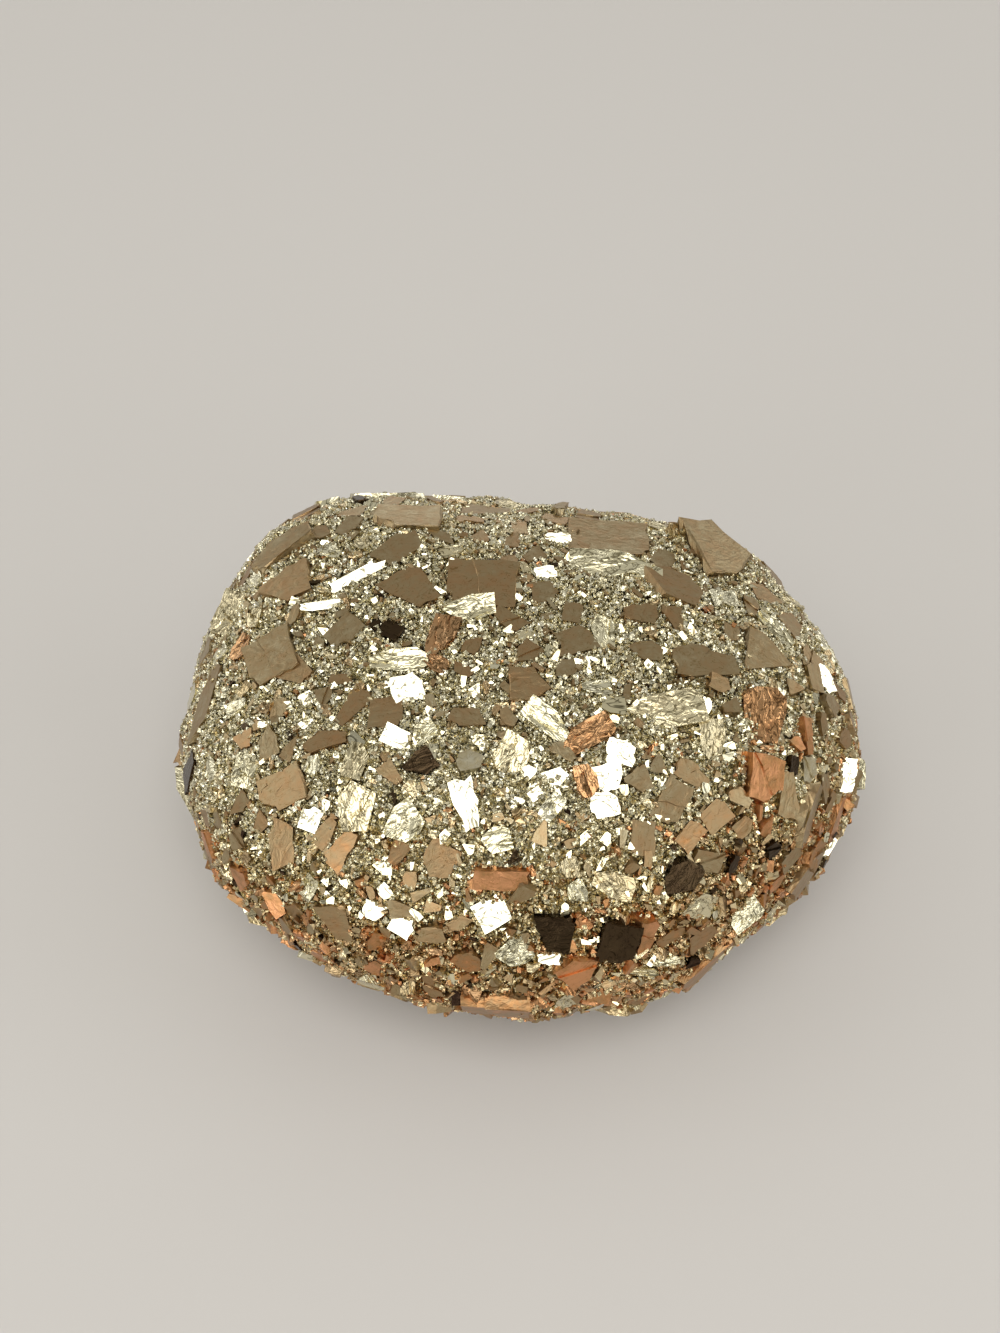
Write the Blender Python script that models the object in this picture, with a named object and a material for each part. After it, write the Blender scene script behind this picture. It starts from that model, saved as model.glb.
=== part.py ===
"""A pyrite nodule: angular pyrite chips grown together in a fine pyrite ground mass.

It is one solid, because nothing in it comes apart. The body is a flattened, rounded lump with a few
broad swells. The bigger chips are boxes with broken corners, sunk in the body and joined to it, some
flush and some proud. The underside is worn to one small flat, which the nodule rests on.

Metres, +Z up. The front is -Y. The origin is on the resting flat, under the middle of the lump.
"""

import math
import random

import bmesh
import bpy
from mathutils import Matrix, Vector, noise
from mathutils.bvhtree import BVHTree

MM = 0.001

# Driving dimensions of the lump
HALF_WIDTH = 33.2 * MM
HALF_DEPTH = 27.2 * MM
GIRTH_HEIGHT = 15.0 * MM  # where the lump is widest
CROWN = 20.0 * MM  # how far the top rises above the girth
KEEL = 16.0 * MM  # how far the underside would reach below the girth, had it not been worn flat
SQUARENESS = 2.15  # exponent of the round outline: 2 is an ellipsoid, more is boxier
GRID = 17  # cuts along each edge of the box that the lump is rounded from

# Broad swells and hollows: azimuth and elevation in degrees, height in mm, spread in degrees.
# Azimuth 0 is to the right and 90 is to the back.
SWELLS = [
    (140, 26, 5.9, 28),  # shoulder at the back left
    (58, 26, 0.9, 20),  # rise at the back right
    (43, 24, 2.2, 12),  # and the corner beside it
    (18, 12, 0.8, 22),  # fullness at the right
    (92, 34, 1.2, 34),  # raised back edge
    (322, 6, -2.6, 26),  # pared-down corner at the front right
    (336, -18, -1.3, 26),  # and the edge below it
    (216, -22, -2.3, 28),  # tucked-in edge at the front left
    (272, -38, -1.3, 34),  # and at the front
    (200, 10, 0.8, 24),
    (0, -10, 0.8, 24),
]
UNEVEN = 0.55 * MM  # height of the small lumps in the skin
UNEVEN_SIZE = 9 * MM  # and how far apart they are

# The chips are boxes with broken corners, sunk to a little above the skin.
THICKNESS = 3.2 * MM
PROUD = 0.35 * MM

# The front chips are laid out as they look to someone who looks down on the front from this far.
EYE_ELEVATION = 52.6
EYE_DISTANCE = 184 * MM
MIDDLE = Vector((0, 0.0012, 0.015))  # the point of the lump that they look at

# Right of and above that point, length and width, in mm; then the turn of the length from level, and
# the tilt of the face about its length, in degrees. A tilt above 0 lifts its lower edge out.
FRONT_CHIPS = [
    # the top and back, broad and nearly flush
    (8.6, 21.7, 8.0, 5.6, 5, 3),
    (19.3, 20.7, 8.0, 7.0, 20, 4),
    (14.3, 17.1, 7.0, 4.2, -20, 3),
    (9.3, 18.2, 9.0, 4.4, -3, -4),
    (-4.0, 17.1, 6.4, 5.6, 0, 3),
    (-5.3, 14.4, 5.0, 2.6, 5, 6),
    (-11.7, 16.2, 5.2, 4.6, 35, 3),
    (-12.6, 20.1, 5.0, 4.6, 15, 2),
    (-11.3, 23.7, 6.5, 4.5, 0, 3),
    (-16.3, 17.8, 6.0, 1.8, 28, 8),
    (-23.6, 16.9, 5.6, 4.4, 10, 2),
    (-25.0, 22.0, 7.0, 5.0, 30, 4),
    # the shoulders and the middle
    (18.1, 9.6, 6.4, 3.6, 15, 4),
    (24.5, 9.8, 5.2, 4.8, -10, 5),
    (-12.2, 9.3, 5.6, 2.6, 2, -5),
    (-25.0, 9.8, 5.4, 5.0, 20, 3),
    (-31.5, 4.8, 8.0, 4.4, 80, 3),
    (14.3, 4.3, 7.4, 3.8, 12, -6),
    (24.0, 3.9, 5.4, 4.4, 90, 4),
    (24.0, -2.3, 4.4, 4.0, 80, 5),
    (28.0, -5.7, 6.2, 4.2, 65, 16),
    (-16.3, -4.8, 5.2, 3.8, 95, 6),
    (-11.9, -6.8, 4.2, 3.6, 32, 7),
    (-5.6, -4.8, 5.0, 2.6, 105, 8),
    (1.0, 7.0, 4.2, 3.6, 0, 6),
    # the lower front, tilted and proud
    (9.5, -18.5, 4.4, 4.0, 80, -12),
    (2.6, -17.6, 4.4, 3.8, 0, -8),
    (15.6, -12.5, 4.4, 3.2, 65, -14),
    (-2.1, -12.3, 4.8, 2.0, 0, 10),
    (5.8, -21.0, 4.4, 3.2, 40, 12),
    (-2.6, -25.0, 6.2, 3.4, 0, 10),
    (19.3, -21.2, 6.4, 3.6, 30, 14),
    (22.0, -15.7, 4.0, 3.0, 40, 10),
    (28.4, -11.2, 6.2, 3.4, 35, 10),
    (-19.0, -16.6, 4.4, 4.0, 20, 3),
]

# The sides that this view doesn't reach carry chips of the same kinds, spread evenly.
FAR_CHIPS = 150  # places tried over the whole lump
FAR_LENGTH = (4.0, 7.5)
FAR_TILT = 13


def outward(azimuth, elevation):
    """The unit vector at these angles, in degrees."""
    turn, rise = math.radians(azimuth), math.radians(elevation)
    return Vector((math.cos(turn) * math.cos(rise), math.sin(turn) * math.cos(rise), math.sin(rise)))


def skin_point(direction):
    """Where the lump's skin lies in this direction from the middle of its girth."""
    height = CROWN if direction.z > 0 else KEEL
    reach = (
        abs(direction.x / HALF_WIDTH) ** SQUARENESS
        + abs(direction.y / HALF_DEPTH) ** SQUARENESS
        + abs(direction.z / height) ** SQUARENESS
    ) ** (-1 / SQUARENESS)
    for azimuth, elevation, rise, spread in SWELLS:
        away = math.degrees(direction.angle(outward(azimuth, elevation)))
        reach += rise * MM * math.exp(-((away / spread) ** 2))
    reach += UNEVEN * noise.noise(direction * reach / UNEVEN_SIZE)
    return direction * reach + Vector((0, 0, GIRTH_HEIGHT))


def add_object(name, bm):
    """A new object that holds this mesh, which is freed."""
    mesh = bpy.data.meshes.new(name)
    bm.to_mesh(mesh)
    bm.free()
    made = bpy.data.objects.new(name, mesh)
    bpy.context.scene.collection.objects.link(made)
    return made


def make_lump():
    """The body: a box with a grid on its sides, each point moved out to the skin."""
    bm = bmesh.new()
    bmesh.ops.create_cube(bm, size=2)
    bmesh.ops.subdivide_edges(bm, edges=bm.edges, cuts=GRID, use_grid_fill=True)
    for vertex in bm.verts:
        # The tangent spaces the grid evenly by angle, so that it is no finer at the box's corners.
        even = Vector([math.tan(side * math.pi / 4) for side in vertex.co])
        vertex.co = skin_point(even.normalized())
    return add_object("pyrite_nodule", bm)


def make_chip(place, normal, level, length, width, rng):
    """One chip: a box with two to four corners broken off, its face at place and facing normal."""
    bm = bmesh.new()
    bmesh.ops.create_cube(bm, size=1)
    bmesh.ops.scale(bm, vec=(length, width, THICKNESS), verts=bm.verts)
    for corner in rng.sample(range(4), rng.randint(2, 4)):
        angle = math.radians(45 + 90 * corner + rng.uniform(-20, 20))
        slant = rng.uniform(0.05, 0.35)
        cut = Vector((math.cos(angle), math.sin(angle), slant)).normalized()
        tip = Vector((math.copysign(length / 2, cut.x), math.copysign(width / 2, cut.y), THICKNESS / 2))
        taken = rng.uniform(0.12, 0.42) * min(length, width)
        sliced = bmesh.ops.bisect_plane(
            bm,
            geom=bm.verts[:] + bm.edges[:] + bm.faces[:],
            plane_co=tip - cut * taken,
            plane_no=cut,
            clear_outer=True,
        )
        rim = [edge for edge in sliced["geom_cut"] if isinstance(edge, bmesh.types.BMEdge)]
        bmesh.ops.contextual_create(bm, geom=rim)
    bmesh.ops.recalc_face_normals(bm, faces=bm.faces)

    side = (level - normal * level.dot(normal)).normalized()
    turned = Matrix((side, normal.cross(side), normal)).transposed().to_4x4()
    sunk = Matrix.Translation(place + normal * (PROUD - THICKNESS / 2))
    bmesh.ops.transform(bm, matrix=sunk @ turned, verts=bm.verts)
    return add_object("chip", bm)


def make_front_chips(skin, rng):
    """The listed chips, each where a line from the eye meets the skin."""
    towards_eye = outward(-90, EYE_ELEVATION)
    eye = MIDDLE + towards_eye * EYE_DISTANCE
    right = Vector((1, 0, 0))
    up = towards_eye.cross(right)
    chips = []
    for across, above, length, width, turn, tilt in FRONT_CHIPS:
        sight = MIDDLE + (right * across + up * above) * MM - eye
        place, normal, _, _ = skin.ray_cast(eye, sight)
        if place is None:
            continue
        level = Matrix.Rotation(math.radians(turn), 3, towards_eye) @ right
        level = (level - normal * level.dot(normal)).normalized()
        normal = Matrix.Rotation(math.radians(tilt), 3, level) @ normal
        chips.append(make_chip(place, normal, level, length * MM, width * MM, rng))
    return chips


def make_far_chips(skin, rng):
    """Chips over the back, the ends and the underside, on a spiral of even places."""
    eye = MIDDLE + outward(-90, EYE_ELEVATION) * EYE_DISTANCE
    golden_turn = math.pi * (3 - math.sqrt(5))
    centre = Vector((0, 0, GIRTH_HEIGHT))
    chips = []
    for count in range(FAR_CHIPS):
        rise = 1 - 2 * (count + 0.5) / FAR_CHIPS
        flat = math.sqrt(1 - rise * rise)
        direction = Vector((flat * math.cos(count * golden_turn), flat * math.sin(count * golden_turn), rise))
        place, normal, _, _ = skin.ray_cast(centre, direction)
        tilt = Matrix.Rotation(math.radians(rng.uniform(-FAR_TILT, FAR_TILT)), 3, "X")
        normal_tilted = (tilt @ normal + 0.12 * rng.uniform(-1, 1) * Vector((1, 0, 0))).normalized()
        level = Matrix.Rotation(rng.uniform(0, math.pi), 3, normal_tilted) @ normal_tilted.orthogonal()
        length = rng.uniform(*FAR_LENGTH) * MM
        width = length * rng.uniform(0.5, 0.9)
        if normal.dot((eye - place).normalized()) < 0.12:
            chips.append(make_chip(place, normal_tilted, level, length, width, rng))
    return chips


def join_and_rest(lump, chips):
    """Joins the chips to the lump and wears the underside flat at z = 0."""
    gathered = bpy.data.collections.new("chips")
    bpy.context.scene.collection.children.link(gathered)
    for chip in chips:
        gathered.objects.link(chip)
    bm = bmesh.new()
    bmesh.ops.create_cube(bm, size=4 * HALF_WIDTH)
    bmesh.ops.translate(bm, vec=(0, 0, -2 * HALF_WIDTH), verts=bm.verts)
    ground = add_object("ground", bm)

    grown = lump.modifiers.new("grown_together", "BOOLEAN")
    grown.operation = "UNION"
    grown.operand_type = "COLLECTION"
    grown.collection = gathered
    worn = lump.modifiers.new("worn_flat", "BOOLEAN")
    worn.operation = "DIFFERENCE"
    worn.object = ground
    bpy.context.view_layer.objects.active = lump
    for modifier in (grown, worn):
        bpy.ops.object.modifier_apply(modifier=modifier.name)
    for helper in [*chips, ground]:
        bpy.data.objects.remove(helper)
    bpy.data.collections.remove(gathered)


def centre_on_origin(lump):
    """Moves the mesh sideways, so that its bounding box is centred over the origin."""
    for axis in (0, 1):
        places = [vertex.co[axis] for vertex in lump.data.vertices]
        shift = Vector((0, 0, 0))
        shift[axis] = -(min(places) + max(places)) / 2
        lump.data.transform(Matrix.Translation(shift))


def pyrite():
    """Pale brass-yellow metal, dulled by fine facets."""
    material = bpy.data.materials.new("pyrite")
    material.use_nodes = True
    shader = material.node_tree.nodes["Principled BSDF"]
    shader.inputs["Base Color"].default_value = (0.52, 0.44, 0.28, 1)
    shader.inputs["Metallic"].default_value = 1
    shader.inputs["Roughness"].default_value = 0.32
    return material


for old in list(bpy.data.objects):
    bpy.data.objects.remove(old)

random_chips = random.Random(7)
nodule = make_lump()
skin_tree = BVHTree.FromObject(nodule, bpy.context.evaluated_depsgraph_get())
all_chips = make_front_chips(skin_tree, random_chips) + make_far_chips(skin_tree, random_chips)
join_and_rest(nodule, all_chips)
centre_on_origin(nodule)
nodule.data.materials.clear()
nodule.data.materials.append(pyrite())
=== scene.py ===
import math

import bpy
import numpy as np
from mathutils import Matrix, Vector, noise
from mathutils.bvhtree import BVHTree


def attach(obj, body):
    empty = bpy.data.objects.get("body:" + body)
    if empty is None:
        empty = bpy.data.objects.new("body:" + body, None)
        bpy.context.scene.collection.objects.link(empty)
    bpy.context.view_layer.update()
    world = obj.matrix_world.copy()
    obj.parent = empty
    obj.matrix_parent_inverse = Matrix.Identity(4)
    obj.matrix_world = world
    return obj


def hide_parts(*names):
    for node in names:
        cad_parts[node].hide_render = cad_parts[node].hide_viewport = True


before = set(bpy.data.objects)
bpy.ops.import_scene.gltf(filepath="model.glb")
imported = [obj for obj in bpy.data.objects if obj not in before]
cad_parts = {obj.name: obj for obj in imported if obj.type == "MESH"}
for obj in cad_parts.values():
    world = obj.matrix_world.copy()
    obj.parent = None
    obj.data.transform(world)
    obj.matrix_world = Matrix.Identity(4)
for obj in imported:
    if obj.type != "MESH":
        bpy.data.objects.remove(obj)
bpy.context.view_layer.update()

MM = 0.001

# ---------------------------------------------------------------------------------------------------
# The studio: a pale table top, and a camera that looks down on the front of the stone. A metal shows
# nothing but its surroundings, so a pale wall stands behind, and soft lamps stand all around.
# ---------------------------------------------------------------------------------------------------
CAMERA_ELEVATION = 50
CAMERA_DISTANCE = 186 * MM
AIM = Vector((-2.3, 6.3, 22.3)) * MM  # the point at the middle of the view
TABLE_SIZE = 2.0  # metres
LAMP_DISTANCE = 0.9  # metres, from the origin

TABLE_COLOUR = "CDC9C4"
WALL_PALE = "C1BFB9"
WALL_DIM = "96948E"


def linear(code):
    """The linear RGB of an sRGB hex colour."""
    parts = [int(code[i : i + 2], 16) / 255 for i in (0, 2, 4)]
    return [c / 12.92 if c <= 0.04045 else ((c + 0.055) / 1.055) ** 2.4 for c in parts]


def rgba(code):
    return (*linear(code), 1)


def node(tree, kind, settings=None, links=None):
    """Adds a shader node, sets its own settings and input values, and feeds its inputs from outputs."""
    made = tree.nodes.new("ShaderNode" + kind)
    for key, value in (settings or {}).items():
        if isinstance(key, str) and hasattr(made, key):
            setattr(made, key, value)
        else:
            made.inputs[key].default_value = value
    for key, source in (links or {}).items():
        tree.links.new(source, made.inputs[key])
    return made


def from_angles(azimuth, elevation):
    """A unit vector. Azimuth 0 is to the right, -90 towards the viewer, 90 to the back."""
    turn, rise = math.radians(azimuth), math.radians(elevation)
    return Vector((math.cos(turn) * math.cos(rise), math.sin(turn) * math.cos(rise), math.sin(rise)))


towards_camera = from_angles(-90, CAMERA_ELEVATION)
camera_right = Vector((1, 0, 0))
camera_up = towards_camera.cross(camera_right)
eye = AIM + towards_camera * CAMERA_DISTANCE

camera_data = bpy.data.cameras.new("camera")
camera_data.lens = 50
camera_data.sensor_width = 36
camera_data.clip_start = 0.01
camera = bpy.data.objects.new("camera", camera_data)
camera_axes = Matrix((camera_right, camera_up, towards_camera)).transposed()
camera.matrix_world = Matrix.Translation(eye) @ camera_axes.to_4x4()
bpy.context.scene.collection.objects.link(camera)
bpy.context.scene.camera = camera
bpy.context.scene.view_settings.view_transform = "Standard"

bpy.ops.object.select_all(action="DESELECT")
bpy.ops.mesh.primitive_plane_add(size=TABLE_SIZE)
table = bpy.context.object
table.name = "table_top"
table_paint = bpy.data.materials.new("matt_table_paint")
table_paint.use_nodes = True
table_shader = table_paint.node_tree.nodes["Principled BSDF"]
table_shader.inputs["Base Color"].default_value = rgba(TABLE_COLOUR)
table_shader.inputs["Roughness"].default_value = 0.8
table.data.materials.append(table_paint)

# Each lamp: azimuth, elevation, width and height in metres, radiance at its face.
KEY = (-96, 64)
LAMPS = [
    (*KEY, 0.66, 0.54, 3.0),
    (-176, 26, 0.50, 0.44, 1.6),
    (-8, 28, 0.50, 0.44, 1.6),
    (150, 14, 0.50, 0.28, 1.8),
    (34, 14, 0.50, 0.28, 1.8),
    (-44, 20, 0.44, 0.40, 2.0),
    (-136, 20, 0.44, 0.40, 2.0),
    (90, 8, 0.60, 0.16, 2.0),
    (-120, 7, 0.60, 0.16, 3.4),
    (-64, 7, 0.60, 0.16, 2.7),
]
for azimuth, elevation, width, height, radiance in LAMPS:
    lamp_data = bpy.data.lights.new("soft_box", "AREA")
    lamp_data.shape = "RECTANGLE"
    lamp_data.size = width
    lamp_data.size_y = height
    lamp_data.energy = radiance * math.pi * width * height
    lamp = bpy.data.objects.new("soft_box", lamp_data)
    way = from_angles(azimuth, elevation)
    facing_in = way.to_track_quat("Z", "Y").to_matrix().to_4x4()
    lamp.matrix_world = Matrix.Translation(way * LAMP_DISTANCE) @ facing_in
    bpy.context.scene.collection.objects.link(lamp)

# The walls are pale behind the stone, and dim elsewhere.
room = bpy.data.worlds.new("room")
bpy.context.scene.world = room
room.use_nodes = True
tree = room.node_tree
tree.nodes.clear()
direction = node(tree, "TexCoord")
behind = node(
    tree,
    "VectorMath",
    {"operation": "DOT_PRODUCT", 1: from_angles(90, 50)},
    {0: direction.outputs["Generated"]},
)
paleness = node(
    tree,
    "MapRange",
    {"interpolation_type": "SMOOTHSTEP", "From Min": 0.35, "From Max": 0.85},
    {"Value": behind.outputs["Value"]},
)
walls = node(
    tree,
    "Mix",
    {"data_type": "RGBA", 6: rgba(WALL_DIM), 7: rgba(WALL_PALE)},
    {0: paleness.outputs["Result"]},
)
background = node(tree, "Background", None, {"Color": walls.outputs[2]})
node(tree, "OutputWorld", None, {"Surface": background.outputs[0]})

# ---------------------------------------------------------------------------------------------------
# The ground mass: fine pyrite between the chips. It formed grain by grain, so its skin is pitted; it looks
# dark from its pits and from painted shade in the gaps between its grains. It is the nodule's own solid,
# softened and drawn in a little.
# ---------------------------------------------------------------------------------------------------
VOXEL = 0.7 * MM
SOFTENING = 14  # rounds of smoothing
DRAWN_IN = 0.20 * MM
PITS = 0.30 * MM
PIT_SIZE = 0.9 * MM

cad_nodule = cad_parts["pyrite_nodule"]
bpy.ops.object.select_all(action="DESELECT")
# The skin is only a guide, which the chips are set in. It is removed at the end.
skin = bpy.data.objects.new("skin", cad_nodule.data.copy())
bpy.context.scene.collection.objects.link(skin)
skin.select_set(True)
bpy.context.view_layer.objects.active = skin
bpy.ops.object.mode_set(mode="EDIT")
bpy.ops.mesh.select_all(action="SELECT")
bpy.ops.mesh.remove_doubles(threshold=0.001 * MM)
bpy.ops.object.mode_set(mode="OBJECT")
remesh = skin.modifiers.new("remesh", "REMESH")
remesh.voxel_size = VOXEL
soften = skin.modifiers.new("soften", "SMOOTH")
soften.iterations = SOFTENING
for modifier in (remesh, soften):
    bpy.ops.object.modifier_apply(modifier=modifier.name)
skin_tree = BVHTree.FromObject(skin, bpy.context.evaluated_depsgraph_get())

ground_mass = bpy.data.objects.new("ground_mass", skin.data.copy())
bpy.context.scene.collection.objects.link(ground_mass)
bpy.ops.object.select_all(action="DESELECT")
ground_mass.select_set(True)
bpy.context.view_layer.objects.active = ground_mass
pit_texture = bpy.data.textures.new("pits", "CLOUDS")
pit_texture.noise_scale = PIT_SIZE
draw_in = ground_mass.modifiers.new("draw_in", "DISPLACE")
draw_in.strength = -DRAWN_IN
draw_in.mid_level = 0
pitted = ground_mass.modifiers.new("pitted", "DISPLACE")
pitted.texture = pit_texture
pitted.texture_coords = "LOCAL"
pitted.strength = PITS
for modifier in (draw_in, pitted):
    bpy.ops.object.modifier_apply(modifier=modifier.name)

ground_mass.data.shade_flat()
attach(ground_mass, "root")
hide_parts("pyrite_nodule")

# ---------------------------------------------------------------------------------------------------
# Chips of pyrite, and how they are set in the skin. Each kind of face is modelled a few times, as a
# box of unit size with its face up and some corners broken off, and copied with its own size and lean.
# ---------------------------------------------------------------------------------------------------
REST_GAP = 0.02 * MM  # nothing reaches closer than this to the surface that the stone rests on
NOISE_SEED = 7

noise.seed_set(NOISE_SEED)  # left alone, noise_vector starts from the clock, and differs in each run


def break_corners(rng, count, most):
    """In edit mode, slices some corners off the unit box."""
    for corner in rng.permutation(4)[:count]:
        angle = math.radians(45 + 90 * corner + rng.uniform(-24, 24))
        cut = Vector((math.cos(angle), math.sin(angle), rng.uniform(0, 0.35))).normalized()
        tip = Vector((math.copysign(0.5, cut.x), math.copysign(0.5, cut.y), 0))
        bpy.ops.mesh.select_all(action="SELECT")
        bpy.ops.mesh.bisect(
            plane_co=tip - cut * rng.uniform(0.06, most), plane_no=cut, use_fill=True, clear_outer=True
        )


def fret(chip, rng, amount):
    """Frets the outline of the chip by this part of its size. Its face stays flat."""
    away = Vector(rng.uniform(-50, 50, 3))
    for vertex in chip.data.vertices:
        shift = noise.noise_vector(vertex.co * 7 + away) * amount
        vertex.co.x += shift.x
        vertex.co.y += shift.y


def taken_from(chip):
    """The chip's points, faces and face sizes as arrays, once its object is no longer needed."""
    # Both are put in order, and the points rounded, so that nothing hangs on how they were numbered.
    points = np.array([vertex.co for vertex in chip.data.vertices]).round(5)
    order = np.lexsort(points.T)
    ranks = np.argsort(order)
    faces = []
    for face in chip.data.polygons:
        corners = ranks[list(face.vertices)]
        faces.append(np.roll(corners, -corners.argmin()).tolist())
    faces.sort()
    bpy.data.objects.remove(chip)
    return points[order], np.concatenate(faces), np.array([len(face) for face in faces])


def flat_chip(rng, corners, most=0.34, steps=0, fretted=0.0):
    """A chip with a flat face, which may go down in steps and have a fretted outline."""
    bpy.ops.object.select_all(action="DESELECT")
    bpy.ops.mesh.primitive_cube_add(size=1, location=(0, 0, -0.5))
    bpy.ops.object.transform_apply()
    chip = bpy.context.object
    bpy.ops.object.mode_set(mode="EDIT")
    break_corners(rng, corners, most)
    heading = rng.uniform(0, 2 * math.pi)
    across = Vector((math.cos(heading), math.sin(heading), 0))
    for step in range(steps):
        reach = rng.uniform(-0.1, 0.12) + 0.16 * step
        bpy.ops.mesh.select_all(action="SELECT")
        bpy.ops.mesh.bisect(plane_co=across * reach, plane_no=across)
        bpy.ops.object.mode_set(mode="OBJECT")
        for face in chip.data.polygons:
            face.select = face.normal.z > 0.9 and face.center.dot(across) > reach
        bpy.ops.object.mode_set(mode="EDIT")
        bpy.ops.mesh.extrude_region_move(TRANSFORM_OT_translate={"value": (0, 0, 0.06)})
    if fretted:
        bpy.ops.mesh.select_all(action="SELECT")
        bpy.ops.mesh.subdivide(number_cuts=2)
    bpy.ops.object.mode_set(mode="OBJECT")
    fret(chip, rng, fretted)
    return taken_from(chip)


def crumpled_chip(rng, cuts, scales, slope, corners, most=0.34):
    """A chip whose face is crumpled into long flat scales, each with its own tilt."""
    bpy.ops.object.select_all(action="DESELECT")
    bpy.ops.mesh.primitive_grid_add(x_subdivisions=cuts, y_subdivisions=cuts, size=1)
    chip = bpy.context.object
    bpy.ops.object.mode_set(mode="EDIT")
    bpy.ops.mesh.select_all(action="SELECT")
    bpy.ops.mesh.extrude_region_move(TRANSFORM_OT_translate={"value": (0, 0, -1)})
    bpy.ops.mesh.dissolve_limited(angle_limit=math.radians(1))
    bpy.ops.mesh.select_all(action="SELECT")
    bpy.ops.mesh.normals_make_consistent(inside=False)
    break_corners(rng, corners, most)
    bpy.ops.object.mode_set(mode="OBJECT")
    heading = rng.uniform(0, math.pi)
    turn = np.array([[math.cos(heading), -math.sin(heading)], [math.sin(heading), math.cos(heading)]])
    middles = rng.uniform(-1, 1, (scales, 2)) * (0.32, 0.75)
    tilts = rng.normal(0, slope, (scales, 2))
    levels = rng.uniform(-0.5, 0.5, scales) * slope * 0.3
    away = Vector(rng.uniform(-50, 50, 3))
    for vertex in chip.data.vertices:
        if vertex.co.z > -0.01:
            bent = vertex.co + noise.noise_vector(vertex.co * 3 + away) * 0.12
            offsets = turn @ bent[:2] * (0.45, 1) - middles
            apart = np.linalg.norm(offsets, axis=1)
            nearest = apart.argmin()
            vertex.co.z += levels[nearest] + offsets[nearest] @ tilts[nearest]
    return taken_from(chip)


def axes_for(normals, spins, leans, lean_ways):
    """The axes of chips that lean from the normals and are spun. The third axis points out of the face."""
    helper = np.where(np.abs(normals[:, 2:]) < 0.9, [[0, 0, 1.0]], [[1.0, 0, 0]])
    side = np.cross(helper, normals)
    side /= np.linalg.norm(side, axis=1, keepdims=True)
    other = np.cross(normals, side)
    lean = np.cos(lean_ways)[:, None] * side + np.sin(lean_ways)[:, None] * other
    up = normals * np.cos(leans)[:, None] + lean * np.sin(leans)[:, None]
    side = side - up * (side * up).sum(1, keepdims=True)
    side /= np.linalg.norm(side, axis=1, keepdims=True)
    other = np.cross(up, side)
    along = np.cos(spins)[:, None] * side + np.sin(spins)[:, None] * other
    return np.stack([along, np.cross(up, along), up], 2)


def strew(name, shapes, picks, places, axes, sizes, tones, material):
    """Makes one piece of many chips. Each is a copy of the picked shape at its place, axes and size."""
    all_points, all_loops, all_counts, all_tones, all_maps = [], [], [], [], []
    start = 0
    for pick, (points, loops, counts) in enumerate(shapes):
        mine = np.flatnonzero(picks == pick)
        scaled = points[None] * sizes[mine][:, None, :]
        put = np.einsum("nij,nkj->nki", axes[mine], scaled) + places[mine][:, None, :]
        if len(mine):
            put[:, :, 2] += np.maximum(0, REST_GAP - put[:, :, 2].min(1))[:, None]
        all_points.append(put.reshape(-1, 3))
        firsts = start + np.arange(len(mine)) * len(points)
        all_loops.append((loops[None] + firsts[:, None]).ravel())
        all_counts.append(np.tile(counts, len(mine)))
        all_tones.append(np.repeat(tones[mine], len(counts)))
        # The face map is in mm, goes on down the sides, and lies somewhere else on each chip.
        depths = scaled[:, loops, 2:] * (1, -1)
        shifted = (scaled[:, loops, :2] + depths) / MM + 37.0 * (mine % 101)[:, None, None]
        all_maps.append(shifted.reshape(-1, 2))
        start += len(mine) * len(points)
    points, loops, counts = (np.concatenate(parts) for parts in (all_points, all_loops, all_counts))
    mesh = bpy.data.meshes.new(name)
    mesh.vertices.add(len(points))
    mesh.vertices.foreach_set("co", points.astype(np.float32).ravel())
    mesh.loops.add(len(loops))
    mesh.loops.foreach_set("vertex_index", loops.astype(np.int32))
    mesh.polygons.add(len(counts))
    mesh.polygons.foreach_set("loop_start", (np.cumsum(counts) - counts).astype(np.int32))
    mesh.update(calc_edges=True)
    tone = mesh.attributes.new("tone", "FLOAT", "FACE")
    tone.data.foreach_set("value", np.concatenate(all_tones).astype(np.float32))
    face_map = mesh.uv_layers.new(name="face_map")
    face_map.uv.foreach_set("vector", np.concatenate(all_maps).astype(np.float32).ravel())
    mesh.shade_flat()
    mesh.materials.append(material)
    piece = bpy.data.objects.new(name, mesh)
    bpy.context.scene.collection.objects.link(piece)
    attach(piece, "root")
    return piece


def grainy(tree, shader, size, tilt, crease):
    """Tilts the surface grain by grain, of this size in mm, and returns how clear of the gaps it is, for the
    painted shade in the gaps.
    """
    place = node(tree, "TexCoord").outputs["Object"]
    bend = node(tree, "TexNoise", {"Scale": 0.5 / (size * MM), "Detail": 1.0}, {"Vector": place})
    place = node(
        tree,
        "VectorMath",
        {"operation": "MULTIPLY_ADD", 1: (1.6 * size * MM,) * 3},
        {0: bend.outputs["Color"], 2: place},
    ).outputs[0]
    grain = node(tree, "TexVoronoi", {"Scale": 1 / (size * MM)}, {"Vector": place})
    way = node(
        tree,
        "VectorMath",
        {"operation": "MULTIPLY_ADD", 1: (2 * tilt,) * 3, 2: (-tilt,) * 3},
        {0: grain.outputs["Color"]},
    )
    level = node(tree, "NewGeometry").outputs["Normal"]
    normal = node(tree, "VectorMath", {"operation": "ADD"}, {0: level, 1: way.outputs[0]})
    normal = node(tree, "VectorMath", {"operation": "NORMALIZE"}, {0: normal.outputs[0]})
    tree.links.new(normal.outputs[0], shader.inputs["Normal"])
    gap = node(
        tree,
        "TexVoronoi",
        {"feature": "DISTANCE_TO_EDGE", "Scale": 1 / (size * MM)},
        {"Vector": place},
    )
    clear = node(tree, "MapRange", {"From Max": crease}, {"Value": gap.outputs["Distance"]})
    return clear.outputs["Result"]


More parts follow.
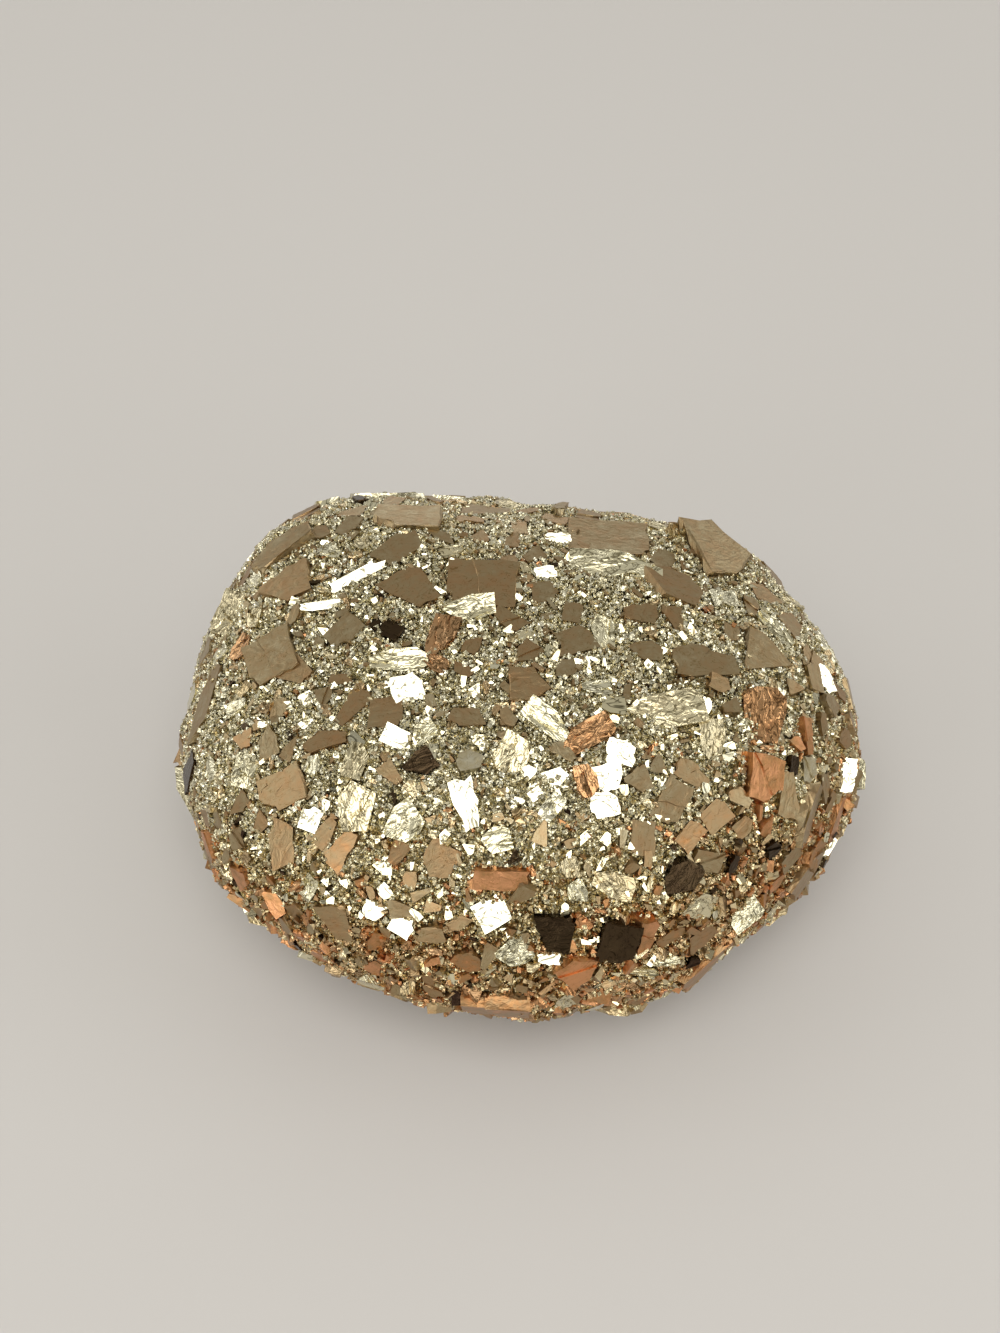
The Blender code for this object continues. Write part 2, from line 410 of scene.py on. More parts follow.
def crinkled(tree, shader, size, height, crease, detail=3.0):
    """Crinkles the face in long waves, sized in mm, and returns how clear of their creases it is, for the
    painted shade in the creases.
    """
    place = node(tree, "UVMap", {"uv_map": "face_map"}).outputs[0]
    place = node(tree, "VectorMath", {"operation": "MULTIPLY", 1: (0.5, 1, 1)}, {0: place}).outputs[0]
    waves = node(
        tree,
        "TexNoise",
        {"Scale": 1 / size, "Detail": detail, "Roughness": 0.6, "Distortion": 1.0},
        {"Vector": place},
    )
    relief = node(
        tree, "Bump", {"Strength": 1.0, "Distance": height * MM}, {"Height": waves.outputs["Fac"]}
    )
    tree.links.new(relief.outputs["Normal"], shader.inputs["Normal"])
    level = node(tree, "Math", {"operation": "SUBTRACT", 1: 0.5}, {0: waves.outputs["Fac"]})
    level = node(tree, "Math", {"operation": "ABSOLUTE"}, {0: level.outputs[0]})
    return node(tree, "MapRange", {"From Max": crease}, {"Value": level.outputs[0]}).outputs["Result"]


PATCH_SIZE = 1.6 * MM  # of the mottling


def pyrite(name, tones, roughness, relief, crease_shade, mottle=0.0):
    """Pyrite coloured by each face's tone. It mottles in patches, and painted shade darkens its creases and
    gaps by a given factor.
    """
    material = bpy.data.materials.new(name)
    material.use_nodes = True
    tree = material.node_tree
    shader = tree.nodes["Principled BSDF"]
    shader.inputs["Metallic"].default_value = 1
    shader.inputs["Roughness"].default_value = roughness
    tone = node(tree, "Attribute", {"attribute_name": "tone"}).outputs["Fac"]
    if mottle:
        place = node(tree, "TexCoord").outputs["Object"]
        patches = node(
            tree, "TexNoise", {"Scale": 1 / PATCH_SIZE, "Detail": 5.0, "Roughness": 0.7}, {"Vector": place}
        )
        drift = node(
            tree,
            "Math",
            {"operation": "MULTIPLY_ADD", 1: mottle, 2: -mottle / 2},
            {0: patches.outputs["Fac"]},
        )
        tone = node(tree, "Math", {"operation": "ADD"}, {0: drift.outputs[0], 1: tone}).outputs[0]
    ramp = node(tree, "ValToRGB", None, {"Fac": tone})
    elements = ramp.color_ramp.elements
    while len(elements) < len(tones):
        elements.new(0.5)
    for element, (position, code) in zip(elements, tones):
        element.position = position
        element.color = rgba(code)
    form, *sizes = relief
    clear = form(tree, shader, *sizes)
    # Painted shade: in the creases and gaps the colour is multiplied down by this factor, as if shade fell
    # there.
    crease_shaded = node(
        tree,
        "Mix",
        {"data_type": "RGBA", "blend_type": "MULTIPLY", 0: 1.0, 7: (crease_shade, crease_shade * 0.9, crease_shade * 0.62, 1)},
        {6: ramp.outputs["Color"]},
    )
    colour = node(
        tree, "Mix", {"data_type": "RGBA"}, {0: clear, 6: crease_shaded.outputs[2], 7: ramp.outputs["Color"]}
    )
    tree.links.new(colour.outputs[2], shader.inputs["Base Color"])
    return material


# The tones go from a fresh break, through a brown tarnish, to copper.
FRESH_TONES = [
    (0.0, "E4E0CA"),
    (0.25, "E0D8B6"),
    (0.5, "CDB98F"),
    (0.75, "BC9972"),
    (0.88, "BE8F62"),
    (1.0, "D79A6A"),
]
WORN_TONES = [
    (0.0, "BAB5A1"),
    (0.25, "AEA283"),
    (0.5, "9C8866"),
    (0.75, "A0805B"),
    (0.88, "B28356"),
    (1.0, "CC9468"),
]
NEAR_BLACK_TONES = [(0.0, "52442F"), (1.0, "30221A")]
FINE_TONES = [(0.0, "EEE8CC"), (0.5, "DED0A2"), (1.0, "C0A070")]
# Worn pyrite was rubbed smooth and then tarnished. It is a patchy olive to brown, with a soft sheen, and
# faint painted shade in its creases.
worn_pyrite = pyrite(
    "worn_pyrite", WORN_TONES, 0.36, (crinkled, 0.9, 0.07, 0.012), crease_shade=0.6, mottle=0.9
)
# Fresh pyrite is a clean break. It is pale and almost a mirror, and flashes under a lamp. Painted shade
# draws thin dark cracks across it.
fresh_pyrite = pyrite("fresh_pyrite", FRESH_TONES, 0.14, (crinkled, 1.4, 0.05, 0.030, 2.0), crease_shade=0.12)
# Crumpled pyrite broke along uneven growth. It glitters in bands, like crushed foil, with painted shade in
# the lines between them.
crumpled_pyrite = pyrite(
    "crumpled_pyrite", FRESH_TONES, 0.26, (crinkled, 0.75, 0.13, 0.05, 2.2), crease_shade=0.22, mottle=0.3
)
# Some chips are coloured nearly black, but stay glossy, with painted shade in their creases.
near_black_pyrite = pyrite(
    "glossy_near_black_pyrite", NEAR_BLACK_TONES, 0.25, (crinkled, 0.9, 0.12, 0.02), crease_shade=0.3, mottle=0.8
)
CHIP_PYRITE = {
    "worn": worn_pyrite,
    "fresh": fresh_pyrite,
    "crumpled": crumpled_pyrite,
    "near_black": near_black_pyrite,
}

# Fine pyrite is a mass of crystals too small to tell apart. It sparkles in specks, and painted shade
# darkens the gaps between them. Its grains are drawn 0.22 mm wide, coarser than many real ones, so that they
# show.
fine_pyrite = pyrite("fine_pyrite", FINE_TONES, 0.30, (grainy, 0.22, 0.40, 0.13), crease_shade=0.12, mottle=1.0)
ground_mass.data.materials.clear()
ground_mass.data.materials.append(fine_pyrite)

# The skin's triangles, on which places are picked.
skin.data.calc_loop_triangles()
skin_points = np.empty(len(skin.data.vertices) * 3)
skin.data.vertices.foreach_get("co", skin_points)
skin_points = skin_points.reshape(-1, 3)
skin_corners = np.empty(len(skin.data.loop_triangles) * 3, np.int32)
skin.data.loop_triangles.foreach_get("vertices", skin_corners)
skin_corners = skin_corners.reshape(-1, 3)
corner_a, corner_b, corner_c = (skin_points[skin_corners[:, i]] for i in range(3))
skin_normals = np.cross(corner_b - corner_a, corner_c - corner_a)
skin_areas = np.linalg.norm(skin_normals, axis=1)
skin_normals /= skin_areas[:, None]


def spread(rng, count):
    """Random places on the skin, with their normals."""
    picked = rng.choice(len(skin_areas), count, p=skin_areas / skin_areas.sum())
    first, second = rng.random((2, count, 1))
    over = first + second > 1
    first, second = np.where(over, 1 - first, first), np.where(over, 1 - second, second)
    a, b, c = corner_a[picked], corner_b[picked], corner_c[picked]
    return a + first * (b - a) + second * (c - a), skin_normals[picked]


LOW_FRONT = np.array([0.25, -0.75, -0.6])  # the way that the coarsest part of the surface faces


def coarseness(normals):
    """From 0 on the top and the back, where the chips lie flush, to 1 low in front, where they don't."""
    return np.clip((normals @ LOW_FRONT + 0.2) / 0.7, 0, 1)


# The ground mass, too, is painted browner low in front: a painted warm reflection, as on the chips and the
# grit.
ground_normals = np.empty(len(ground_mass.data.polygons) * 3)
ground_mass.data.polygons.foreach_get("normal", ground_normals)
ground_tones_with_painted_warmth = 0.15 + 0.45 * coarseness(ground_normals.reshape(-1, 3))
tone = ground_mass.data.attributes.new("tone", "FLOAT", "FACE")
tone.data.foreach_set("value", ground_tones_with_painted_warmth.astype(np.float32))


class TakenSkin:
    """The parts of the skin that chips take up, so that later ones keep clear of them."""

    def __init__(self):
        self.places, self.reaches = np.empty((0, 3)), np.empty(0)

    def take(self, place, reach):
        self.places = np.vstack([self.places, place])
        self.reaches = np.append(self.reaches, reach)

    def fit(self, places, reaches, closeness):
        """Takes, in turn, each place that is clear of the rest, and returns which ones those are."""
        kept = []
        for index, (place, reach) in enumerate(zip(places, reaches)):
            apart = np.linalg.norm(self.places - place, axis=1)
            if (apart > closeness * (self.reaches + reach)).all():
                kept.append(index)
                self.take(place, reach)
        return np.array(kept, int)


taken_skin = TakenSkin()

# ---------------------------------------------------------------------------------------------------
# The broad chips of the front, about 2 to 9 mm, laid out one by one. They are pyrite that grew in the
# ground mass. The worn ones on the top were rubbed flush with it, and some fresh ones face the lamp.
# ---------------------------------------------------------------------------------------------------
LAYOUT_DISTANCE = 183.8 * MM  # from the camera, where the layout's millimetres are true
LAYOUT_CENTRE = (2.2, -8.8)  # the middle of the outline, from the middle of the view, in mm
BROAD_THICKNESS = 2.6 * MM  # mostly sunk in the ground mass
FLUSH = 0.12 * MM  # how far a flush face stands above the skin
PROUD = 0.42 * MM  # and one that stands out

# Right of and above the middle of the outline, length and width, in mm. Then the turn of the length
# from level, how far the face leans to the right and up, in degrees, and the finish.
FRONT_CHIPS = [
    # the top and the back edge
    (8.6, 21.7, 8.0, 5.8, 5, 0, 0, "olive"),
    (19.9, 20.4, 8.0, 7.0, 25, 4, 0, "olive"),
    (14.3, 17.1, 7.0, 4.2, -22, 3, 0, "brown"),
    (9.3, 18.4, 9.0, 4.0, -3, 0, 0, "foil"),
    (-4.0, 17.1, 6.6, 5.6, -5, 0, 0, "brown"),
    (-5.3, 14.6, 5.0, 2.4, 5, 0, 0, "foil"),
    (-11.7, 16.2, 5.2, 4.6, 40, 0, 0, "brown"),
    (-12.6, 20.1, 4.8, 4.4, 15, 0, 0, "olive"),
    (-11.3, 23.7, 6.4, 4.4, 0, 0, 0, "olive"),
    (-16.3, 17.8, 5.6, 1.0, 28, 0, 0, "glint"),
    (-20.0, 14.8, 3.8, 0.8, 8, 0, 0, "glint"),
    (-23.6, 16.9, 5.4, 4.2, 12, 0, 0, "brown"),
    (-24.2, 21.0, 7.0, 4.6, 35, 0, 0, "olive"),
    (-3.6, 24.2, 5.0, 3.4, 0, 0, 0, "olive"),
    (3.6, 21.5, 2.4, 1.1, 5, 0, 0, "glint"),
    (2.3, 18.1, 1.9, 1.4, 20, 0, 0, "glint"),
    (2.4, 16.2, 3.0, 2.6, 10, 0, 0, "olive"),
    (8.1, 12.3, 4.2, 2.2, 105, 0, 0, "foil"),
    (11.8, 14.4, 3.2, 3.0, 0, 0, 0, "brown"),
    (5.4, 11.4, 3.2, 2.8, 30, 0, 0, "olive"),
    (-28.8, 13.9, 4.6, 3.2, 70, 0, 0, "gold"),
    # the shoulders and the middle
    (18.1, 9.6, 6.4, 3.6, 12, 0, 0, "olive"),
    (24.5, 9.8, 5.2, 4.8, -8, 0, 0, "olive"),
    (30.0, 7.5, 3.0, 1.4, 110, 0, 0, "glint"),
    (25.0, 12.4, 4.6, 1.3, -48, 0, 0, "foil"),
    (-12.2, 9.3, 5.4, 2.3, 3, 0, 0, "foil"),
    (-11.4, 6.6, 2.9, 2.5, 10, 0, 0, "glint"),
    (-9.7, 2.3, 2.2, 1.9, 32, 0, 0, "foil"),
    (-12.6, 1.8, 2.5, 1.9, -25, 0, 0, "glint"),
    (-13.5, 4.3, 3.2, 3.0, 0, 0, 0, "brown"),
    (1.0, 7.0, 4.2, 3.4, 0, 0, 0, "brown"),
    (-1.0, 0.0, 3.6, 3.0, 60, 6, -6, "gold"),
    (2.6, 3.4, 5.0, 2.2, -38, 0, 0, "foil"),
    (-5.4, -1.0, 2.6, 2.2, 70, 4, 4, "grey"),
    (-5.6, -4.8, 4.4, 2.2, 105, 0, 0, "glint"),
    (-11.9, -6.8, 3.6, 3.2, 35, 0, 0, "foil"),
    (-16.3, -4.8, 5.0, 3.4, 95, 0, 0, "gold"),
    (-21.0, -6.4, 2.2, 1.8, 70, 0, 0, "glint"),
    (-25.0, 9.8, 5.2, 5.0, 20, 0, 0, "olive"),
    (-23.1, 8.0, 3.6, 3.4, 50, 0, 0, "brown"),
    (-31.5, 4.8, 8.0, 4.2, 78, 0, 0, "olive"),
    (-27.4, -1.6, 3.2, 2.2, 80, 0, 0, "foil"),
    (14.3, 4.3, 7.2, 3.4, 14, 0, 0, "gold"),
    (24.0, 3.9, 5.4, 4.2, 85, 0, 0, "copper_foil"),
    (24.0, -2.3, 4.2, 3.8, 75, 4, -4, "copper"),
    (6.5, 2.0, 5.0, 2.4, 30, 0, 0, "copper_foil"),
    (8.6, -2.2, 2.6, 2.4, 15, 0, 0, "glint"),
    (8.2, -4.9, 2.4, 2.3, 12, 0, 0, "glint"),
    (6.4, -2.6, 3.0, 2.0, 100, -4, 0, "copper_foil"),
    (9.8, 0.3, 2.5, 2.3, -10, 0, 0, "glint"),
    (17.9, 4.7, 2.0, 1.5, 60, 0, 0, "glint"),
    (11.3, -2.5, 2.4, 2.2, 20, 6, -5, "olive"),
    (28.0, -5.9, 6.2, 4.0, 62, 14, -4, "olive"),
    (32.0, -2.0, 3.4, 2.2, 75, 0, 0, "glint"),
    (26.4, -4.0, 4.2, 2.4, 75, 6, -4, "olive"),
    # the right end: crowded chips that lean out and overlap
    (19.6, 6.9, 2.6, 1.6, -15, 6, -4, "brown"),
    (20.5, 4.8, 1.9, 1.8, 20, 4, 6, "olive"),
    (28.8, 7.6, 3.0, 1.9, 70, 4, 0, "olive"),
    (30.3, 5.2, 2.6, 2.4, 30, 10, 4, "olive"),
    (27.0, 6.5, 2.0, 1.8, 10, -6, 4, "brown"),
    (32.2, 6.0, 3.2, 2.0, 85, 16, 0, "olive"),
    (32.4, 2.9, 2.6, 1.8, -60, 18, 8, "brown"),
    (31.6, 1.5, 2.6, 2.0, 15, -8, -6, "brown"),
    (28.1, 1.8, 3.6, 1.1, 80, 8, 0, "copper"),
    (27.0, 0.9, 1.6, 1.5, 30, -6, 4, "copper"),
    (29.7, 2.9, 2.2, 1.7, 60, 4, -8, "olive"),
    (26.7, -0.9, 1.6, 1.3, 75, 8, -10, "dark"),
    (28.2, -1.5, 2.4, 1.6, 80, -6, 4, "grey"),
    (29.8, -3.3, 2.8, 1.9, 100, 10, 6, "olive"),
    (33.2, -1.8, 3.0, 1.8, 75, 14, 4, "foil"),
    (21.5, -3.7, 2.6, 2.0, -25, 4, -6, "olive"),
    (31.0, -6.3, 4.6, 1.9, 75, 14, -4, "copper"),
    (21.9, -6.9, 2.4, 1.8, 30, -6, -6, "brown"),
    (30.2, -4.4, 2.0, 1.5, 40, -8, -8, "brown"),
    (26.4, -10.1, 2.8, 1.9, 20, 4, 8, "olive"),
    (28.8, -9.5, 3.4, 2.4, 40, 12, 4, "bronze"),
    (24.2, -6.9, 2.2, 1.6, 70, 8, -8, "copper"),
    (24.9, -9.0, 2.0, 1.5, 10, 6, -10, "dark"),
    # the lower front: sharper chips that stand out more
    (15.6, -12.5, 4.2, 3.0, 62, -4, -10, "dark"),
    (9.5, -18.5, 4.2, 3.6, 82, 0, -8, "dark"),
    (2.6, -17.6, 4.2, 3.4, -5, 0, -6, "dark"),
    (-3.0, -15.7, 3.0, 2.8, 30, 0, 0, "glint"),
    (-0.8, -19.4, 3.4, 2.6, 15, 0, 0, "foil"),
    (2.7, -20.2, 1.9, 1.2, 0, 0, 0, "glint"),
    (-11.9, -16.9, 2.1, 1.9, -30, 0, 0, "glint"),
    (-14.7, -15.5, 2.0, 1.6, -20, 0, 0, "glint"),
    (-2.1, -12.3, 4.8, 1.8, 0, 0, -10, "copper"),
    (-2.1, -8.4, 2.8, 2.6, 40, 0, 0, "foil"),
    (5.8, -21.0, 4.0, 3.0, 45, 0, -8, "copper"),
    (-5.8, -20.3, 3.2, 2.4, 20, 0, -8, "bronze"),
    (-2.6, -25.0, 6.2, 3.2, 0, 0, -8, "bronze"),
    (-19.0, -16.6, 3.8, 3.6, 15, 0, 0, "brown"),
    (-23.6, -9.4, 4.6, 4.0, 60, 0, 0, "brown"),
    (-23.8, -3.4, 4.8, 3.4, 20, 0, 0, "brown"),
    (-27.7, -12.3, 2.6, 2.2, 70, -4, -4, "copper"),
    (-30.9, -8.9, 3.2, 2.4, 80, -4, -4, "copper"),
    (18.4, -20.6, 6.4, 3.0, 33, 6, -8, "bronze"),
    (20.0, -19.0, 2.4, 0.9, 55, 0, 0, "foil"),
    (14.2, -20.4, 2.6, 0.8, 8, 0, 0, "foil"),
    (12.0, -21.4, 2.8, 0.8, -6, 0, 0, "gold"),
    (22.0, -15.7, 3.4, 2.4, 35, 0, 0, "foil"),
    (28.4, -11.2, 6.2, 3.0, 40, 10, -6, "brown"),
    (30.2, -9.0, 2.0, 1.3, 60, 0, 0, "glint"),
    (11.8, -18.0, 4.2, 2.4, 95, 4, -8, "copper"),
    (20.7, -11.0, 2.2, 1.6, 60, 8, -10, "dark"),
]
# Each finish: the kind of face, its tone, and how far it turns from the skin to mirror the main lamp.
FINISHES = {
    "olive": ("worn", 0.50, 0),
    "brown": ("worn", 0.60, 0),
    "grey": ("worn", 0.20, 0),
    "bronze": ("worn", 0.80, 0),
    "copper": ("worn", 0.95, 0),
    "glint": ("fresh", 0.05, 1),
    "foil": ("crumpled", 0.24, 0.6),
    "gold": ("crumpled", 0.35, 0.6),
    "copper_foil": ("crumpled", 0.85, 0.5),
    "dark": ("near_black", 0.5, 0),
}

layout_rng = np.random.default_rng(11)
STEPS = (0, 1, 0, 1, 0)  # how many steps the faces of worn chips go down in
worn_shapes = [
    flat_chip(layout_rng, 1 + k % 3, most=0.5, steps=STEPS[k % 5], fretted=0.08) for k in range(15)
]
square_shapes = [flat_chip(layout_rng, 1 + k % 3, most=0.25, fretted=0.10) for k in range(8)]
crumpled_shapes = [crumpled_chip(layout_rng, 24, 18, 0.15, 2 + k % 3) for k in range(8)]

broad = {kind: [] for kind in CHIP_PYRITE}
key_way = from_angles(*KEY)
for across, above, length, width, turn, lean_right, lean_up, finish in FRONT_CHIPS:
    sight = (
        camera_right * (LAYOUT_CENTRE[0] + across) * MM
        + camera_up * (LAYOUT_CENTRE[1] + above) * MM
        - towards_camera * LAYOUT_DISTANCE
    )
    place, normal, _, _ = skin_tree.ray_cast(eye, sight)
    if place is None:  # the chip would hang in the air past the edge
        continue
    kind, tone, turned = FINISHES[finish]
    mirroring = ((eye - place).normalized() + key_way).normalized()
    normal = normal.lerp(mirroring, turned).normalized()
    normal += camera_right * math.tan(math.radians(lean_right)) + camera_up * math.tan(math.radians(lean_up))
    normal.normalize()
    level = Matrix.Rotation(math.radians(turn), 3, towards_camera) @ camera_right
    level = (level - normal * level.dot(normal)).normalized()
    axes = np.array([level, normal.cross(level), normal]).T
    height = PROUD if lean_right or lean_up or kind in ("fresh", "crumpled") else FLUSH
    broad[kind].append((place + normal * height, axes, length, width, tone))
    taken_skin.take(place, math.sqrt(length * width) / 2 * MM)

# ---------------------------------------------------------------------------------------------------
# The other broad chips: pyrite of the same kinds, grown into the mass wherever those laid out leave
# space. The sides that are turned away from the front have the widest.
# ---------------------------------------------------------------------------------------------------
WIDE_TRIES = 4000
THINNED = 0.85  # the part of the tries that is dropped low in front, where chips are small
WIDE_CLOSENESS = 1.12  # the least gap between the middles of two chips, over the sum of their reaches
FRONT_REACH = (0.9, 1.7)  # in mm, from a chip's middle to its side
HIDDEN_REACH = (1.3, 3.2)
MOST_LEAN = 16  # in degrees
KIND_SHARES = (0.70, 0.03, 0.26, 0.01)  # in the order of CHIP_PYRITE

wide_rng = np.random.default_rng(23)
places, normals = spread(wide_rng, WIDE_TRIES)
coarse = coarseness(normals)
wanted = wide_rng.random(len(places)) < 1 - THINNED * coarse
places, normals, coarse = places[wanted], normals[wanted], coarse[wanted]
in_view = normals @ np.array(towards_camera) > 0.10
front_reaches = wide_rng.uniform(*FRONT_REACH, len(places))
hidden_reaches = wide_rng.uniform(*HIDDEN_REACH, len(places))
reaches = np.where(in_view, front_reaches, hidden_reaches) * MM
kept = taken_skin.fit(places, reaches, WIDE_CLOSENESS)
places, normals, reaches = places[kept], normals[kept], reaches[kept]
count = len(kept)
coarse = coarse[kept]
all_axes = axes_for(
    normals,
    wide_rng.uniform(0, 2 * math.pi, count),
    np.radians(np.minimum(np.abs(wide_rng.normal(0, 1, count)) * (3 + 10 * coarse), MOST_LEAN)),
    wide_rng.uniform(0, 2 * math.pi, count),
)
for place, axes, reach, low_front_warmth in zip(places, all_axes, reaches, coarse):
    kind = wide_rng.choice(list(CHIP_PYRITE), p=KIND_SHARES)
    # Painted reflection: low in front the worn and crumpled tones shift browner, a painted warm reflection.
    tone = {
        "worn": wide_rng.uniform(0.42, 0.66) + low_front_warmth * wide_rng.uniform(0, 0.4),
        "fresh": wide_rng.uniform(0.1, 0.3),
        "crumpled": wide_rng.choice([0.15, 0.35, 0.8], p=[0.5, 0.38, 0.12]) + 0.15 * low_front_warmth,
        "near_black": 0.5,
    }[kind]
    stretch = wide_rng.uniform(1.0, 1.4)
    length, width = 2 * reach * stretch / MM, 2 * reach / stretch / MM
    height = FLUSH if kind == "worn" else (FLUSH + PROUD) / 2
    broad[kind].append((place + axes[:, 2] * height, axes, length, width, tone))

broad_shapes = {
    "worn": worn_shapes,
    "fresh": square_shapes,
    "crumpled": crumpled_shapes,
    "near_black": worn_shapes,
}
broad_pieces = []
for kind, chips in broad.items():
    shapes = broad_shapes[kind]
    piece = strew(
        "broad_chips_" + kind,
        shapes,
        np.arange(len(chips)) % len(shapes),
        np.array([chip[0] for chip in chips]),
        np.array([chip[1] for chip in chips]),
        np.array([(chip[2], chip[3], BROAD_THICKNESS / MM) for chip in chips]) * MM,
        np.array([chip[4] for chip in chips]),
        CHIP_PYRITE[kind],
    )
    broad_pieces.append(piece)

# ---------------------------------------------------------------------------------------------------
# The small chips, about 0.4 to 3.4 mm long: splinters and crumbs of the same pyrite, held in the ground
# mass. They lie flush on the top and the back, and stand at all angles low in front.
# ---------------------------------------------------------------------------------------------------
SMALL_KIND_SHARES = (0.51, 0.12, 0.34, 0.03)  # in the order of CHIP_PYRITE
FRESH = 1  # the place of the fresh kind in that order
FLASH_REACH = 0.3 * MM  # a chip with a longer reach than this mirrors the lamp less often
MOST_SMALL_LEAN = 50  # in degrees

small_rng = np.random.default_rng(31)
splinters = [flat_chip(small_rng, 1 + k % 3, most=0.62) for k in range(14)]
crumbs = [crumpled_chip(small_rng, 4, 4, 0.30, 1 + k % 3, most=0.55) for k in range(6)]
small_pieces = []
# Each size: tries, the least and the most reach in mm, how close two chips may be, and the part of the
# tries that is kept on the top and the back, and low in front.
for size_name, tries, least, most, closeness, sparse, dense in (
    ("medium", 9000, 0.50, 1.15, 0.90, 0.10, 0.45),
    ("small", 34000, 0.20, 0.55, 0.85, 0.30, 0.42),
):
    places, normals = spread(small_rng, tries)
    coarse = coarseness(normals)
    wanted = small_rng.random(tries) < sparse + (dense - sparse) * coarse
    reaches = (least + (most - least) * small_rng.random(tries) ** 3) * MM
    order = np.argsort(-reaches)
    order = order[wanted[order]]
    kept = order[taken_skin.fit(places[order], reaches[order], closeness)]
    places, normals, reaches, coarse = places[kept], normals[kept], reaches[kept], coarse[kept]
    count = len(kept)
    kinds = small_rng.choice(len(SMALL_KIND_SHARES), count, p=SMALL_KIND_SHARES)
    # Where the skin faces halfway to the main lamp, many a small fresh face happens to mirror it.
    mirroring = np.array([((eye - Vector(place)).normalized() + key_way).normalized() for place in places])
    facing = np.clip(((normals * mirroring).sum(1) - 0.70) / 0.2, 0, 1)
    chance = (0.05 * (facing > 0) + 0.32 * facing) * np.minimum(1, FLASH_REACH / reaches)
    turned = small_rng.random(count) < chance
    kinds[turned] = FRESH
    proud = (0.10 + 0.22 * small_rng.random(count) * (0.6 + 1.6 * coarse)) * MM
    places = places + normals * proud[:, None]
    normals = np.where(turned[:, None], mirroring, normals)
    leans = np.abs(small_rng.normal(0, 1, count)) * (8 + 18 * coarse)
    leans = np.radians(np.minimum(leans, MOST_SMALL_LEAN))
    leans = np.where(turned, leans * 0.25, leans)
    all_axes = axes_for(
        normals, small_rng.uniform(0, 2 * math.pi, count), leans, small_rng.uniform(0, 2 * math.pi, count)
    )
    stretch = small_rng.uniform(1.0, 1.5, count)
    sizes = np.stack([2 * reaches * stretch, 2 * reaches / stretch, 1.7 * reaches], 1)
    # Painted reflection: low in front many more chips are bronze, a painted warm reflection; elsewhere a few
    # are bronze at random.
    bronze = small_rng.random(count) < 0.04 + 0.50 * coarse
    tones = np.where(bronze, small_rng.uniform(0.75, 1.0, count), small_rng.uniform(0.35, 0.65, count))
    for number, (kind, material) in enumerate(CHIP_PYRITE.items()):
        mine = kinds == number
        shapes = crumbs if kind == "crumpled" else splinters
        piece = strew(
            f"{size_name}_chips_{kind}",
            shapes,
            small_rng.integers(0, len(shapes), mine.sum()),
            places[mine],
            all_axes[mine],
            sizes[mine],
            tones[mine] * (0.4 if kind == "fresh" else 1),
            material,
        )
        small_pieces.append(piece)

# ---------------------------------------------------------------------------------------------------
# The grit: single crystals of pyrite, 0.1 to 0.6 mm, which grew in every gap between the chips and give
# the stone its sparkle. They point every way. The finer ones are four-sided spikes, with few faces.
# ---------------------------------------------------------------------------------------------------
GRAINS_PER_PIECE = 12000
LOOK_FROM = 2.5 * MM  # above the skin, to see if a chip lies over a grain
CLEARANCE = 0.12 * MM  # how far the middle of a grain stands above any chip's face, or it is left out

grit_rng = np.random.default_rng(47)
# A grain's faces are clean crystal, paler than the chips, and glint one by one. Painted shade darkens a
# network of fine gaps over them.
GRIT_TONES = [
    (0.0, "F2EEDA"),
    (0.25, "ECE4C2"),
    (0.5, "DAC798"),
    (0.75, "C29E74"),
    (0.88, "C29264"),
    (1.0, "D79A6A"),
]
grit_pyrite = pyrite("pyrite_grit", GRIT_TONES, 0.28, (grainy, 0.22, 0.28, 0.13), crease_shade=0.12)


def covered(trees, place, normal, height):
    """Whether a chip's face lies over this place on the skin, higher than this."""
    for tree in trees:
        hit = tree.ray_cast(Vector(place + normal * LOOK_FROM), Vector(-normal))
        if hit[0] is not None and LOOK_FROM - hit[3] > height:
            return True
    return False


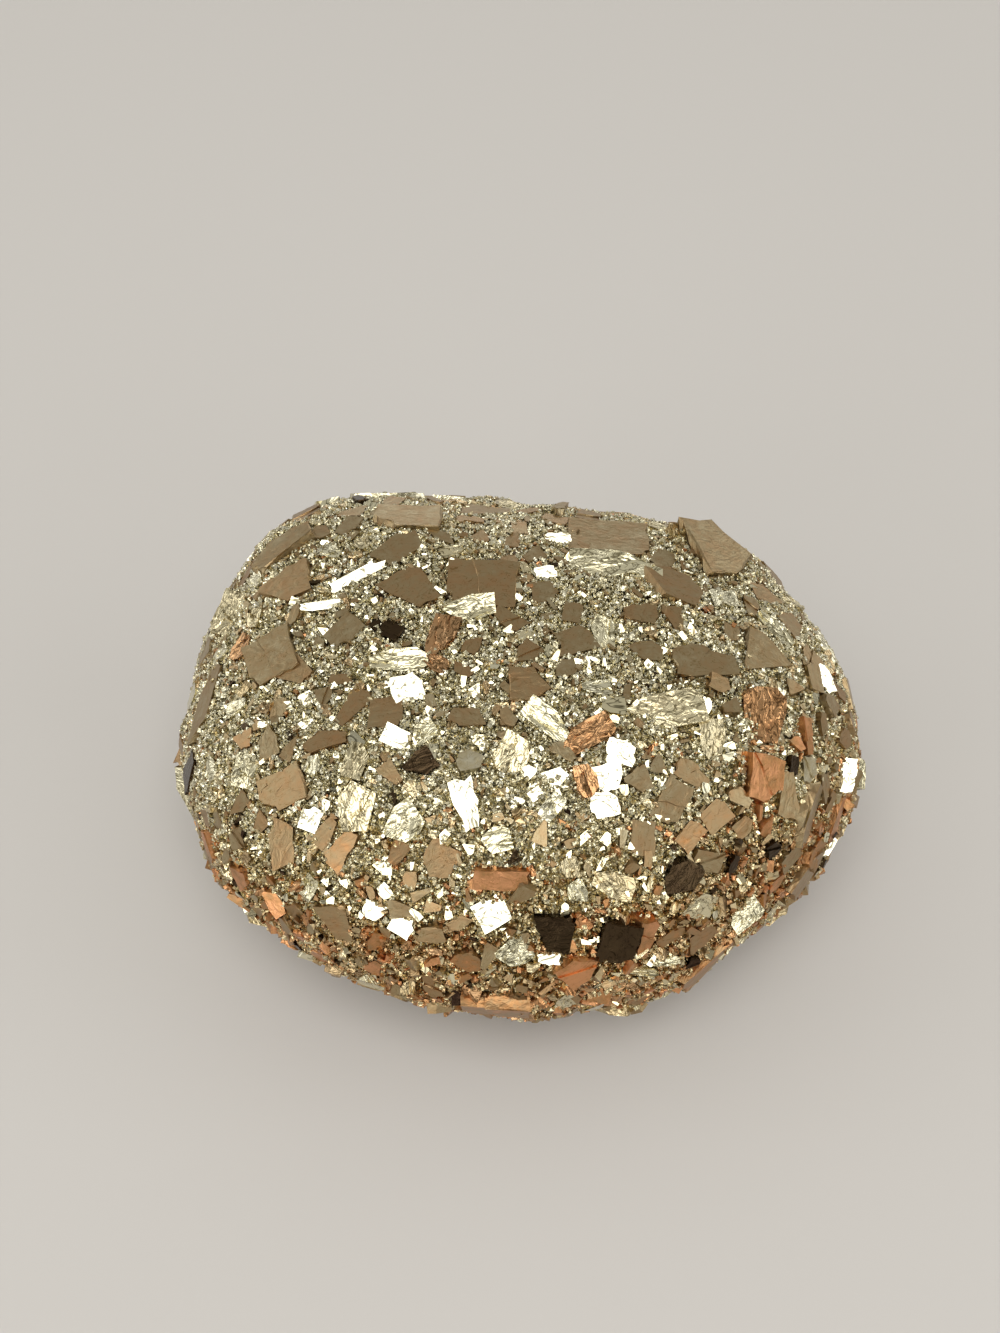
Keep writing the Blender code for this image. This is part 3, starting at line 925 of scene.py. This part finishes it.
depsgraph = bpy.context.evaluated_depsgraph_get()
broad_trees = [BVHTree.FromObject(piece, depsgraph) for piece in broad_pieces]
small_trees = [BVHTree.FromObject(piece, depsgraph) for piece in small_pieces]
cubes = [flat_chip(grit_rng, 0), flat_chip(grit_rng, 1)]
bpy.ops.object.select_all(action="DESELECT")
bpy.ops.mesh.primitive_cone_add(vertices=4, radius1=0.7, depth=1, location=(0, 0, -0.5))
bpy.ops.object.transform_apply()
spikes = [taken_from(bpy.context.object)]
# Each size: its shapes, tries, the least and the most width in mm, and the chips that may cover it.
for label, shapes, tries, least, most, trees in (
    ("coarse", cubes, 34000, 0.24, 0.46, broad_trees),
    ("fine", spikes, 190000, 0.16, 0.29, broad_trees + small_trees),
):
    places, normals = spread(grit_rng, tries)
    widths = grit_rng.uniform(least, most, tries) * MM
    heights = grit_rng.uniform(-0.10, 0.10, tries) * MM
    ways = grit_rng.normal(0, 1, (tries, 3))
    ways /= np.linalg.norm(ways, axis=1, keepdims=True)
    if label == "fine":
        ways = ways + 2.0 * normals
        ways /= np.linalg.norm(ways, axis=1, keepdims=True)
    all_axes = axes_for(ways, grit_rng.uniform(0, 2 * math.pi, tries), np.zeros(tries), np.zeros(tries))
    sizes = widths[:, None] * grit_rng.uniform(0.7, 1.3, (tries, 3))
    # Painted reflection: low in front the grains turn warmer, and more of them copper, a painted warm
    # reflection.
    warmth = 0.08 + 0.36 * coarseness(normals)
    copper = grit_rng.random(tries) < 0.004 + 0.08 * coarseness(normals)
    tones = np.where(copper, grit_rng.uniform(0.8, 1, tries), warmth + grit_rng.uniform(0, 0.30, tries))
    picks = grit_rng.integers(0, len(shapes), tries)
    # Each grain is centred on its height, and not on its face.
    centres = places + normals * heights[:, None] + all_axes[:, :, 2] * sizes[:, 2:] / 2
    at = zip(places, normals, heights - CLEARANCE)
    clear = np.flatnonzero([not covered(trees, *each) for each in at])
    for start in range(0, len(clear), GRAINS_PER_PIECE):
        some = clear[start : start + GRAINS_PER_PIECE]
        strew(
            f"grit_{label}_{start // GRAINS_PER_PIECE + 1}",
            shapes,
            picks[some],
            centres[some],
            all_axes[some],
            sizes[some],
            tones[some],
            grit_pyrite,
        )

bpy.data.objects.remove(skin)
